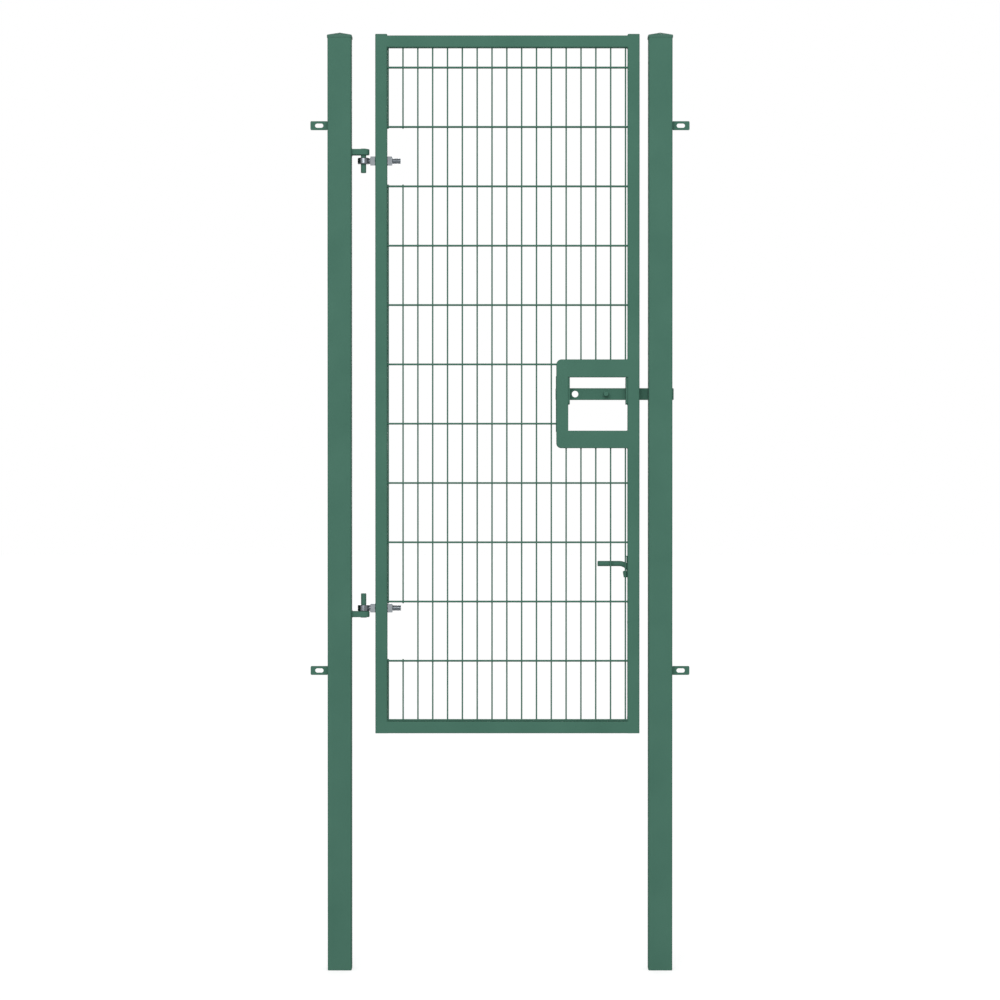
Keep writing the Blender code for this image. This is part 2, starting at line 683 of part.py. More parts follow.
def build_drop_bolt_guides(parts):
    """Lugs on the stile's back face, the upper one just below the bend's lowest place."""
    reach = DROP_ROD_Y - TUBE_BACK_Y - SEAT_GAP
    bend_foot_z = DROP_HANDLE_Z - DROP_BEND_RADIUS - DROP_TRAVEL
    upper_z = bend_foot_z - STOP_GAP - DROP_GUIDE_THICKNESS / 2
    lower_z = LEAF_FOOT_Z + DROP_LOWER_GUIDE_ABOVE_LEAF_FOOT
    outline = [(-y, x) for x, y in tongue(reach, DROP_GUIDE_WIDTH)]
    hole = circle(DROP_ROD / 2 + RUNNING_GAP, (0.0, reach))
    for level, z in (("upper", upper_z), ("lower", lower_z)):
        guide = plate(f"drop_guide_{level}", [outline, hole], DROP_GUIDE_THICKNESS, GREEN, parts)
        stand(guide, (DROP_ROD_X, TUBE_BACK_Y + SEAT_GAP, z))


def build_drop_bolt_keep(parts):
    """A C-shaped plate on the stile's inner face, in front of the handle's path."""
    low = -KEEP_MOUTH / 2 - KEEP_LOWER_PRONG
    high = KEEP_MOUTH / 2
    outline = [(0.0, low), (0.0, high + KEEP_SPINE), (-KEEP_UPPER_PRONG, high + KEEP_SPINE),
               (-KEEP_UPPER_PRONG, high), (-KEEP_SPINE, high), (-KEEP_SPINE, low + KEEP_LOWER_PRONG),
               (KEEP_SLANT - KEEP_REACH, low + KEEP_LOWER_PRONG),
               (-KEEP_REACH, low + KEEP_LOWER_PRONG - KEEP_SLANT), (KEEP_SLANT - KEEP_REACH, low)]
    keep = plate("drop_bolt_keep", [outline], KEEP_THICKNESS, GREEN, parts)
    keep_y = TUBE_BACK_Y - TUBE_CORNER - KEEP_THICKNESS / 2
    stand(keep, (LATCH_STILE_X - SEAT_GAP, keep_y, DROP_HANDLE_Z), "FRONT")


def main():
    clear_scene()
    parts = new_collection("twin_wire_mesh_gate")
    guides = new_collection("cutters")
    build_posts(parts)
    build_fence_lugs(parts)
    build_stiles(parts, guides)
    build_rails(parts)
    build_mesh(parts, guides)
    build_hinges(parts, guides)
    build_surround(parts, guides)
    build_side_strip(parts)
    build_bar_guides(parts)
    build_slide_bar(parts)
    build_drop_bolt(parts)
    build_drop_bolt_guides(parts)
    build_drop_bolt_keep(parts)


main()
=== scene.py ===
"""Looks of the twin wire mesh gate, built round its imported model.

Metres, in the model's own frame: X runs from the hinge post to the latch post, Y from the front to
the back and Z up. The posts' feet are at Z 0 and the ground line is 0.75 m above them.
"""
import math

import bmesh
import bpy
from mathutils import Matrix, Vector


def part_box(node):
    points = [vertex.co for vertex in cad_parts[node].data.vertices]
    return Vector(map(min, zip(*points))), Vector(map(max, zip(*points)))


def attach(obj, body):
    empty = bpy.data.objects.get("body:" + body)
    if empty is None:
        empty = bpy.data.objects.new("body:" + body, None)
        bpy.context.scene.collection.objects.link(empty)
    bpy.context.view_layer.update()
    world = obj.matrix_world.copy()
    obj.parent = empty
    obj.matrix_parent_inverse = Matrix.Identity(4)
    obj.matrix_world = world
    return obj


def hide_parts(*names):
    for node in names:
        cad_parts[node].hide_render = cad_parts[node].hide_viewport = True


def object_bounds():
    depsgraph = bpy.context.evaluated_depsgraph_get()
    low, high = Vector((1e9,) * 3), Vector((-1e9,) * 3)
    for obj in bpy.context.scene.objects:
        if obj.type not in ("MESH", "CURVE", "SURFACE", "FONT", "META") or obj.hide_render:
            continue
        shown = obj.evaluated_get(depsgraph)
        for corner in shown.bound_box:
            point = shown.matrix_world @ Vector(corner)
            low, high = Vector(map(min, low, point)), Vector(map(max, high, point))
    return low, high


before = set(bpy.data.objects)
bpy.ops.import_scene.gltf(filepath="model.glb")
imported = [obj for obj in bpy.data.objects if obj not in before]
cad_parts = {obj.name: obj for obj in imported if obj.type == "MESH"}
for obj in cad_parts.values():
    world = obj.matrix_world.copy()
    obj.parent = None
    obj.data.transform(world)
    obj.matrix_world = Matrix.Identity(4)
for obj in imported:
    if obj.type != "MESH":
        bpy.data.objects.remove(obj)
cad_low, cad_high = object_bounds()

X = Vector((1.0, 0.0, 0.0))
Y = Vector((0.0, 1.0, 0.0))
Z = Vector((0.0, 0.0, 1.0))

# Square tubes: the radius of their corners, their wall, and the rounding of a coated sawn end
POST_CORNER = 0.006
POST_WALL = 0.003
LEAF_CORNER = 0.004
LEAF_WALL = 0.002
SAWN_EDGE = 0.0004

# Post caps: a pyramid on a skirt. Its steps and its blunt tip are shares of its rise and width
CAP_RISE = 0.011
CAP_WALL = 0.0013
CAP_POCKET = 0.0067
CAP_EDGE = 0.0012
CAP_STEPS = (0.25, 0.5, 0.75, 0.94)
CAP_TIP = 0.02

# Stile caps: a dished head on a plug, whose end tapers to a share of its width over a share of
# its depth
STILE_CAP_EDGE = 0.0015
STILE_CAP_RIM = 0.0045
STILE_CAP_SLOPE = 0.0015
STILE_CAP_DISH = 0.0006
PLUG_END_WIDTH = 0.9
PLUG_END_DEPTH = 0.2

# The middle of a cap's rounded rim lies this share of its radius inside the corner
RIM_MIDDLE = 0.3

# Wire mesh: 5 mm uprights between pairs of 6 mm cross wires, measured from the frame's inner sides
UPRIGHT_RADIUS = 0.0025
CROSS_RADIUS = 0.003
UPRIGHT_PITCH = 0.050
CROSS_PITCH = 0.200
FIRST_UPRIGHT = 0.00305
FIRST_CROSS_WIRE = 0.0036
CROSS_WIRE_OFFSET = 0.005
WIRE_STUB = 0.006
HINGE_BAY_UPRIGHTS = 2
WIRE_CUT = 0.0004

# Spot welds: half their size each way, where wires cross and where they meet the frame
SPOT_WELD = Vector((0.0034, 0.0016, 0.0034))
CROSS_END_WELD = Vector((0.0018, 0.0036, 0.0036))
UPRIGHT_END_WELD = Vector((0.0036, 0.0036, 0.0018))

# Weld beads: the radius, the length and depth of one ripple, and what is left of the radius where
# a bead ends, both as shares
WELD_LEG = 0.0028
SMALL_WELD_LEG = 0.0018
WELD_RIPPLE = 0.003
RIPPLE_DEPTH = 0.18
WELD_END = 0.35

# Fence lugs, and the rounding of the rims of thin plates
LUG_CORNER = 0.004
LUG_SLOT_LENGTH = 0.028
LUG_SLOT_WIDTH = 0.0145
PLATE_EDGE = 0.0006

# Hinges: M20 eye bolts with hexagon nuts. Shares: where in the eye's radius the neck starts, how
# much of half a turn of thread is flat at its crest or root, and how wide the round that is left
# on a nut's face is against its flats
ARM_EDGE = 0.0025
PIN_CHAMFER = 0.0015
EYE_BORE = 0.019
EYE_ROUNDING = 0.003
BOLT_DIAMETER = 0.020
NECK_START = 0.75
NECK_HALF_WIDTH = 0.013
THREAD_PITCH = 0.0025
THREAD_DEPTH = 0.0015
THREAD_FLAT = 0.12
NUT_FACE = 0.95
NUT_BORE_CHAMFER = 0.0008
NUT_CORNER_ANGLE = math.radians(30)

# Latch: the surround with its hand opening, the strip beside it, the guides, the bar and its knob
SURROUND_EDGE = 0.003
SURROUND_CORNER = 0.017
SURROUND_TOP_BAND = 0.060
SURROUND_FOOT_BAND = 0.059
SURROUND_SIDE_BAND = 0.040
STRIP_CORNER = 0.004
STRIP_EDGE = 0.0003
GUIDE_CORNER = 0.006
SLOT_PLAY = 0.0005
BAR_CORNER = 0.003
BAR_EDGE = 0.0004
PADLOCK_HOLE = 0.022
PADLOCK_HOLE_FROM_GUIDE = 0.019
KNOB_ROUNDING = 0.003

# Drop bolt, bent from 18 mm bar, with its guides and its keep
DROP_ROD = 0.018
DROP_BEND_RADIUS = 0.040
ROD_CHAMFER = 0.0015
DROP_GUIDE_EDGE = 0.0007
KEEP_EDGE = 0.0008
KEEP_SPINE = 0.003
KEEP_UPPER_REACH = 0.005
KEEP_NOSE_HEIGHT = 0.022
KEEP_NOSE_SLANT = 0.003

# Fineness of round forms
ROUND_SIDES = 48
WIRE_SIDES = 16
WELD_SIDES = 10
CORNER_STEPS = 6
BEND_STEPS = 24
NECK_STEPS = 12
THREAD_STEPS = 8
RIPPLE_STEPS = 4
RIM_STEPS = 3
RIM_ANGLE = math.radians(60)
SHARP_ANGLE = math.radians(40)

# Skins: the width and the depth of one wave, knock or grain
PEEL_WAVE = 0.0026
PEEL_DEPTH = 0.00012
PLATE_KNOCK = 0.0008
PLATE_KNOCK_DEPTH = 0.00004
FORGED_KNOCK = 0.0015
FORGED_KNOCK_DEPTH = 0.0001
GRAIN = 0.0007
GRAIN_DEPTH = 0.00005

# A noise seldom leaves this range, which is spread over the values that it is to give
NOISE_LOW = 0.3
NOISE_HIGH = 0.7

# Camera: a long lens far in front, a little above the middle of the gate
CAMERA_PLACE = Vector((0.5785, -12.0, 1.678))
CAMERA_PITCH = math.radians(-0.4524)
CAMERA_LENS = 128.06
CAMERA_SENSOR = 36.0
CAMERA_REACH = 200.0

# Light: soft suns in front and behind, and a softbox in front of the gate's top
FRONT_SUN = 1.3
FRONT_SUN_HEIGHT = math.radians(16)
FRONT_SUN_TURN = math.radians(-6)
BACK_SUN = 1.2
BACK_SUN_HEIGHT = math.radians(10)
SUN_SPREAD = math.radians(40)
SOFTBOX_PLACE = Vector((0.5785, -5.0, 3.4))
SOFTBOX_SIZE = 2.5
SOFTBOX_POWER = 65.0

# Surroundings: the world's light, its brightness where it is seen, and the floor's added brightness
WORLD_LIGHT = 0.45
SEEN_WORLD = 1.0
SEEN_FLOOR = 0.65
FLOOR_HALF = 60.0
FLOOR_DROP = 0.0005


# Materials


def linear(hex_colour):
    """An sRGB colour such as #4a7062 as linear red, green, blue and alpha."""
    channels = [int(hex_colour[start:start + 2], 16) / 255 for start in (1, 3, 5)]
    return tuple(c / 12.92 if c <= 0.04045 else ((c + 0.055) / 1.055) ** 2.4
                 for c in channels) + (1.0,)


def add_node(tree, kind, inputs=None, **settings):
    """Add a node with its settings, and give each named input a value or a link from an output."""
    node = tree.nodes.new(kind)
    for name, value in settings.items():
        setattr(node, name, value)
    for name, value in (inputs or {}).items():
        if isinstance(value, bpy.types.NodeSocket):
            tree.links.new(value, node.inputs[name])
        else:
            node.inputs[name].default_value = value
    return node


def new_material(name):
    """A material without nodes yet, and its tree."""
    material = bpy.data.materials.new(name)
    material.use_nodes = True
    material.node_tree.nodes.clear()
    return material, material.node_tree


def object_place(tree):
    return add_node(tree, "ShaderNodeTexCoord").outputs["Object"]


def noise(tree, place, size, detail=2.0):
    """A soft noise whose blotches have a real size."""
    return add_node(tree, "ShaderNodeTexNoise",
                    {"Vector": place, "Scale": 1.0 / size, "Detail": detail}).outputs["Fac"]


def mottled_colour(tree, place, size, low, high):
    return add_node(tree, "ShaderNodeMix",
                    {"Factor": noise(tree, place, size), "A": linear(low), "B": linear(high)},
                    data_type="RGBA").outputs["Result"]


def mottled_value(tree, place, size, low, high):
    return add_node(tree, "ShaderNodeMapRange",
                    {"Value": noise(tree, place, size), "From Min": NOISE_LOW,
                     "From Max": NOISE_HIGH, "To Min": low, "To Max": high}).outputs["Result"]


def add_surface(tree, colour, gloss, relief, strength, depth, sockets):
    """Close a material's tree with a bump from its relief under one Principled shader."""
    skin = add_node(tree, "ShaderNodeBump",
                    {"Height": relief, "Strength": strength, "Distance": depth})
    shader = add_node(tree, "ShaderNodeBsdfPrincipled",
                      {"Base Color": colour, "Roughness": gloss,
                       "Normal": skin.outputs["Normal"], **sockets})
    add_node(tree, "ShaderNodeOutputMaterial", {"Surface": shader.outputs["BSDF"]})


def sprayed_powder_coat():
    """Polyester powder in moss green, sprayed on galvanised steel and baked.

    The film flows out to a silky matt skin with the fine orange peel of such coats, waves of 2 to
    3 mm, and its colour and gloss drift softly over a hand's breadth."""
    material, tree = new_material("sprayed_moss_green_powder_coat")
    place = object_place(tree)
    colour = mottled_colour(tree, place, size=0.140, low="#446c5d", high="#4e7767")
    gloss = mottled_value(tree, place, size=0.060, low=0.68, high=0.78)
    peel = noise(tree, place, PEEL_WAVE, detail=1.0)
    add_surface(tree, colour, gloss, peel, strength=0.8, depth=PEEL_DEPTH,
                sockets={"IOR": 1.5, "Specular IOR Level": 0.03})
    return material


def zinc_plate(name, low_colour, high_colour, knock, knock_depth):
    """Zinc plate from a barrel: a clouded mirror over the knocks and pits of the steel below."""
    material, tree = new_material(name)
    place = object_place(tree)
    colour = mottled_colour(tree, place, size=0.009, low=low_colour, high=high_colour)
    gloss = mottled_value(tree, place, size=0.005, low=0.20, high=0.32)
    add_surface(tree, colour, gloss, noise(tree, place, knock), strength=0.25, depth=knock_depth,
                sockets={"Metallic": 1.0})
    return material


def bright_zinc_plate():
    """Turned and rolled steel with bright zinc: pale, cool, with the barrel's knocks under 1 mm."""
    return zinc_plate("bright_zinc_plated_steel", "#8c9297", "#9fa4a8",
                      PLATE_KNOCK, PLATE_KNOCK_DEPTH)


def forged_zinc_plate_with_painted_shade():
    """Drop forged steel with thin zinc, darker than the bright plate: painted shade for the dark
    surroundings that its flanks mirror.
    """
    return zinc_plate("zinc_plated_forging_with_painted_shade", "#5c6064", "#70757a",
                      FORGED_KNOCK, FORGED_KNOCK_DEPTH)


def moulded_polyethylene():
    """Polyethylene coloured through and injection moulded in a spark-eroded tool.

    Close to the coat's green but flatter and a touch greyer, with an even grain of half a
    millimetre, drawn a little wider so that it shows."""
    material, tree = new_material("moulded_green_polyethylene")
    place = object_place(tree)
    colour = mottled_colour(tree, place, size=0.025, low="#4a6f61", high="#4f7467")
    gloss = mottled_value(tree, place, size=0.008, low=0.70, high=0.80)
    grain = add_node(tree, "ShaderNodeTexVoronoi", {"Vector": place, "Scale": 1.0 / GRAIN},
                     feature="SMOOTH_F1")
    add_surface(tree, colour, gloss, grain.outputs["Distance"], strength=0.3, depth=GRAIN_DEPTH,
                sockets={"IOR": 1.51, "Specular IOR Level": 0.03})
    return material


# Each finish with the name of the slot that it stands for
COAT = (sprayed_powder_coat(), "moss_green_powder_coat")
ZINC = (bright_zinc_plate(), "zinc_plated_steel")
# The forging's darker zinc colour is painted shade, for dark surroundings mirrored in its flanks
FORGING_WITH_PAINTED_SHADE = (forged_zinc_plate_with_painted_shade(), "zinc_plated_steel")
PLASTIC = (moulded_polyethylene(), "green_plastic")


# Outlines


def arc(centre, radius, start, end, steps):
    """Points on a circle from one angle to another, in degrees."""
    points = []
    for step in range(steps + 1):
        angle = math.radians(start + (end - start) * step / steps)
        points.append((centre[0] + radius * math.cos(angle), centre[1] + radius * math.sin(angle)))
    return points


def circle(radius, centre=(0.0, 0.0), sides=ROUND_SIDES):
    return arc(centre, radius, 0, 360, sides)[:-1]


def rounded_box(width, height, corner, centre=(0.0, 0.0)):
    points = []
    for quarter, (sx, sy) in enumerate(((1, 1), (-1, 1), (-1, -1), (1, -1))):
        corner_centre = (centre[0] + sx * (width / 2 - corner),
                         centre[1] + sy * (height / 2 - corner))
        points += arc(corner_centre, corner, 90 * quarter, 90 * quarter + 90, CORNER_STEPS)
    return points


def slot(length, width, centre):
    reach = (length - width) / 2
    right = arc((centre[0] + reach, centre[1]), width / 2, -90, 90, ROUND_SIDES // 2)
    left = arc((centre[0] - reach, centre[1]), width / 2, 90, 270, ROUND_SIDES // 2)
    return right + left


def tongue(length, width):
    """A bar end from x=0 to the centre of its round tip, at length."""
    tip = arc((length, 0.0), width / 2, -90, 90, ROUND_SIDES // 2)
    return [(0.0, -width / 2)] + tip + [(0.0, width / 2)]


# Forms that are added to a piece's mesh


def facing(origin, across, up):
    """A place whose flat side has across and up, and whose thickness runs along their product."""
    columns = Matrix((across, up, across.cross(up))).transposed()
    return Matrix.Translation(origin) @ columns.to_4x4()


def add_loft(bm, rings, looped=False):
    """Join rings of equally many points, and close both ends or join the last to the first."""
    loops = [[bm.verts.new(point) for point in ring] for ring in rings]
    pairs = list(zip(loops, loops[1:]))
    if looped:
        pairs.append((loops[-1], loops[0]))
    else:
        bm.faces.new(reversed(loops[0]))
        bm.faces.new(loops[-1])
    for lower, upper in pairs:
        for near in range(len(lower)):
            far = (near + 1) % len(lower)
            bm.faces.new((lower[near], lower[far], upper[far], upper[near]))


def add_stack(bm, place, sections, looped=False):
    """Loft flat outlines, each given with its height above the place."""
    add_loft(bm, [[place @ Vector((x, y, height)) for x, y in outline]
                  for outline, height in sections], looped)


def add_turned(bm, place, profile, looped=False):
    """Turn a profile of (radius, height) points about the place's thickness."""
    add_stack(bm, place, [(circle(radius), height) for radius, height in profile], looped)


def add_tube(bm, box, way, corner, wall):
    """A square tube that fills a box and runs along way, X or Z, with lightly eased sawn ends."""
    low, high = box
    across, up = (Y, Z) if way == X else (X, Y)
    size = high - low
    width, height, length = size.dot(across), size.dot(up), size.dot(way)
    place = facing((low + high) / 2 - way * length / 2, across, up)

    def section(inset, along):
        return rounded_box(width - 2 * inset, height - 2 * inset, corner - inset), along

    add_stack(bm, place, [section(SAWN_EDGE, 0.0), section(0.0, SAWN_EDGE),
                          section(0.0, length - SAWN_EDGE), section(SAWN_EDGE, length),
                          section(wall, length), section(wall, 0.0)], looped=True)


def add_plate(bm, place, loops, thickness, edge):
    """A plate, the first loop its outline and the others holes, with all its rims rounded."""
    flat = bmesh.new()
    for loop in loops:
        corners = [flat.verts.new((x, y, -thickness / 2)) for x, y in loop]
        for near, corner in enumerate(corners):
            flat.edges.new((corner, corners[(near + 1) % len(corners)]))
    bmesh.ops.triangle_fill(flat, use_beauty=True, edges=flat.edges[:])
    walls = bmesh.ops.extrude_face_region(flat, geom=flat.faces[:], use_keep_orig=True)
    lifted = [item for item in walls["geom"] if isinstance(item, bmesh.types.BMVert)]
    bmesh.ops.translate(flat, verts=lifted, vec=(0.0, 0.0, thickness))
    bmesh.ops.recalc_face_normals(flat, faces=flat.faces[:])
    rims = [e for e in flat.edges if len(e.link_faces) == 2 and e.calc_face_angle() > RIM_ANGLE
            and abs(e.verts[0].co.z - e.verts[1].co.z) < edge]
    bmesh.ops.bevel(flat, geom=rims, offset=edge, segments=RIM_STEPS, profile=0.5,
                    affect="EDGES")
    flat.transform(place)
    mesh = mesh_from(flat, "plate")
    bm.from_mesh(mesh)
    bpy.data.meshes.remove(mesh)


def add_sweep(bm, path, radii, across, sides, looped=False):
    """Carry a circle along a flat path, with one radius a point; across is the path's normal."""
    rings = []
    last = len(path) - 1
    for index, point in enumerate(path):
        behind = path[index - 1] if looped else path[max(index - 1, 0)]
        ahead = path[(index + 1) % len(path)] if looped else path[min(index + 1, last)]
        outward = (ahead - behind).normalized().cross(across)
        rings.append([point + (outward * x + across * y) * radii[index]
                      for x, y in circle(1.0, sides=sides)])
    add_loft(bm, rings, looped)


def add_wire(bm, start, end, radius, across):
    """A straight cut wire whose coat rounds the edge of its cut ends."""
    cut = (end - start).normalized() * WIRE_CUT
    add_sweep(bm, [start, start + cut, end - cut, end],
              [radius - WIRE_CUT, radius, radius, radius - WIRE_CUT], across, WIRE_SIDES)


def add_blob(bm, centre, size):
    """A small round weld that has melted into what it joins."""
    place = Matrix.Translation(centre) @ Matrix.Diagonal((*size, 1.0))
    bmesh.ops.create_icosphere(bm, subdivisions=2, radius=1.0, matrix=place)


def ripple(distance, leg):
    """The bead's radius at a distance along it, a row of overlapping scales."""
    scale = abs(math.sin(math.pi * distance / WELD_RIPPLE))
    return leg * (1 - RIPPLE_DEPTH + RIPPLE_DEPTH * scale)


def add_weld(bm, start, end, across, leg=WELD_LEG):
    """A bead along a straight corner, with its lower half in the metal and its ends run out."""
    length = (end - start).length
    steps = round(length / WELD_RIPPLE) * RIPPLE_STEPS
    path = []
    radii = []
    for step in range(steps + 1):
        distance = length * step / steps
        run_out = min(1.0, WELD_END + min(distance, length - distance) / leg)
        path.append(start.lerp(end, step / steps))
        radii.append(ripple(distance, leg) * run_out)
    add_sweep(bm, path, radii, across, WELD_SIDES)


def add_round_weld(bm, place, radius, leg=SMALL_WELD_LEG):
    """A bead round the foot of a round bar that stands on the place."""
    ripples = round(2 * math.pi * radius / WELD_RIPPLE)
    outline = circle(radius, sides=ripples * RIPPLE_STEPS)
    path = [place @ Vector((x, y, 0.0)) for x, y in outline]
    radii = [ripple(step * WELD_RIPPLE / RIPPLE_STEPS, leg) for step in range(len(outline))]
    add_sweep(bm, path, radii, place.to_3x3() @ Z, WELD_SIDES, looped=True)


# From forms to objects


def mesh_from(bm, name):
    """Keep what was formed as a mesh, and free the form."""
    mesh = bpy.data.meshes.new(name)
    bm.to_mesh(mesh)
    bm.free()
    return mesh


def add_object(name, data):
    made = bpy.data.objects.new(name, data)
    bpy.context.scene.collection.objects.link(made)
    return made


def add_piece(name, bm, finish, body, *nodes):
    """Finish a form as one piece, on the body that carries it and over the nodes it stands for."""
    bmesh.ops.recalc_face_normals(bm, faces=bm.faces[:])
    mesh = mesh_from(bm, name)
    material, slot_name = finish
    mesh.materials.append(material)
    mesh.shade_smooth()
    mesh.set_sharp_from_angle(angle=SHARP_ANGLE)
    piece = add_object(name, mesh)
    even = piece.modifiers.new("even_shading", "WEIGHTED_NORMAL")
    even.keep_sharp = True
    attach(piece, body)
    if nodes:
        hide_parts(*nodes)


def middle(box):
    return (box[0] + box[1]) / 2


# Posts


def make_posts():
    """Two square tubes that stand in the ground, each with its cap."""
    for side in ("hinge", "latch"):
        bm = bmesh.new()
        add_tube(bm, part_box(f"{side}_post"), Z, POST_CORNER, POST_WALL)
        add_piece(f"{side}_post_tube", bm, COAT, "posts", f"{side}_post")
        make_post_cap(side)


def make_post_cap(side):
    """A moulded cap: a skirt over the tube's end under a low pyramid with softened hips."""
    low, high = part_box(f"{side}_post_cap")
    half = (high.x - low.x) / 2
    rise = high.z - low.z
    eaves = rise - CAP_RISE
    rounding = CAP_EDGE * RIM_MIDDLE
    place = facing(Vector(((low.x + high.x) / 2, (low.y + high.y) / 2, low.z)), X, Y)

    def section(size, height):
        return rounded_box(2 * size, 2 * size, POST_CORNER * size / half), height

    bm = bmesh.new()
    sections = [section(half - CAP_WALL, CAP_POCKET), section(half - CAP_WALL, 0.0),
                section(half - PLATE_EDGE, 0.0), section(half, PLATE_EDGE),
                section(half, eaves - CAP_EDGE), section(half - rounding, eaves - rounding),
                section(half - CAP_EDGE, eaves)]
    for share in CAP_STEPS:
        sections.append(section(half * (1 - share), eaves + CAP_RISE * share))
    sections.append(section(half * CAP_TIP, rise))
    add_stack(bm, place, sections)
    add_piece(f"{side}_post_cap_moulding", bm, PLASTIC, "posts", f"{side}_post_cap")


def make_fence_lugs():
    """Slotted flats that stand on the posts' outer sides, with a bead in front and behind."""
    for side, outward in (("hinge", -1), ("latch", 1)):
        for level in ("upper", "lower"):
            node = f"fence_lug_{side}_{level}"
            low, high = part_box(node)
            size = high - low
            post_low, post_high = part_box(f"{side}_post")
            post_x = post_low.x if outward < 0 else post_high.x
            outer_x = low.x if outward < 0 else high.x
            width = abs(outer_x - post_x)
            centre = Vector(((outer_x + post_x) / 2, 0.0, (low.z + high.z) / 2))
            bm = bmesh.new()
            add_plate(bm, facing(centre, X, Z),
                      [rounded_box(width, size.z, LUG_CORNER),
                       slot(LUG_SLOT_LENGTH, LUG_SLOT_WIDTH, (0.0, 0.0))], size.y, PLATE_EDGE)
            for y in (-size.y / 2, size.y / 2):
                add_weld(bm, Vector((post_x, y, low.z + LUG_CORNER)),
                         Vector((post_x, y, high.z - LUG_CORNER)), X, SMALL_WELD_LEG)
            add_piece(f"{node}_plate", bm, COAT, "posts", node)


# Leaf


def make_leaf_frame():
    """Stiles from top to bottom and rails between them, with fillet welds in the inner corners.

    The rails run into the stiles by the corner's radius, so that the front closes without a gap."""
    stiles = {}
    for side in ("hinge", "latch"):
        stiles[side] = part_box(f"{side}_stile")
        bm = bmesh.new()
        add_tube(bm, stiles[side], Z, LEAF_CORNER, LEAF_WALL)
        add_piece(f"{side}_stile_tube", bm, COAT, "leaf", f"{side}_stile")
        make_stile_cap(side)
    left = stiles["hinge"][1].x
    right = stiles["latch"][0].x
    for level in ("top", "bottom"):
        low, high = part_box(f"{level}_rail")
        bm = bmesh.new()
        add_tube(bm, (Vector((left - LEAF_CORNER, low.y, low.z)),
                      Vector((right + LEAF_CORNER, high.y, high.z))), X, LEAF_CORNER, LEAF_WALL)
        inner_z = low.z if level == "top" else high.z
        front = low.y + LEAF_CORNER
        back = high.y - LEAF_CORNER
        for x in (left, right):
            add_weld(bm, Vector((x, front, inner_z)), Vector((x, back, inner_z)), X)
        add_piece(f"{level}_rail_tube", bm, COAT, "leaf", f"{level}_rail")


def make_stile_cap(side):
    """A push-in plug: a thin head with an eased rim, a shallow dish on top, a shank in the tube."""
    low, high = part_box(f"{side}_stile_cap")
    tube_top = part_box(f"{side}_stile")[1].z
    half = (high.x - low.x) / 2
    depth = tube_top - low.z
    top = high.z - low.z
    plug = half - LEAF_WALL
    rounding = STILE_CAP_EDGE * RIM_MIDDLE
    place = facing(Vector(((low.x + high.x) / 2, 0.0, low.z)), X, Y)

    def section(size, height):
        return rounded_box(2 * size, 2 * size, LEAF_CORNER * size / half), height

    bm = bmesh.new()
    add_stack(bm, place, [section(plug * PLUG_END_WIDTH, 0.0),
                          section(plug, depth * PLUG_END_DEPTH), section(plug, depth),
                          section(half - PLATE_EDGE / 2, depth),
                          section(half, depth + PLATE_EDGE), section(half, top - STILE_CAP_EDGE),
                          section(half - rounding, top - rounding),
                          section(half - STILE_CAP_EDGE, top), section(half - STILE_CAP_RIM, top),
                          section(half - STILE_CAP_RIM - STILE_CAP_SLOPE, top - STILE_CAP_DISH)])
    add_piece(f"{side}_stile_cap_moulding", bm, PLASTIC, "leaf", f"{side}_stile_cap")


# Wire mesh


def spaced(first, last, pitch):
    """Even places from first, as many as fit before last, or within a thousandth of a step."""
    return [first + pitch * step for step in range(int((last - first) / pitch + 0.001) + 1)]


def hinge_bays(rows):
    """For each hinge, the cross wires below and above it, between which uprights are left out."""
    bays = []
    for level in ("lower", "upper"):
        hinge_z = middle(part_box(f"eye_bolt_{level}")).z
        bays.append((max(z for z in rows if z < hinge_z), min(z for z in rows if z > hinge_z)))
    return bays


def upright_spans(index, x, foot, top, bays):
    """Where an upright runs, from end to end, less the hinge bays or the latch surround."""
    surround_low, surround_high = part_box("latch_surround")
    if x + UPRIGHT_RADIUS > surround_low.x:
        return [(foot, surround_low.z), (surround_high.z, top)]
    if index >= HINGE_BAY_UPRIGHTS:
        return [(foot, top)]
    spans = []
    for wire_below, wire_above in bays:
        spans.append((foot, wire_below + WIRE_STUB))
        foot = wire_above - WIRE_STUB
    return spans + [(foot, top)]


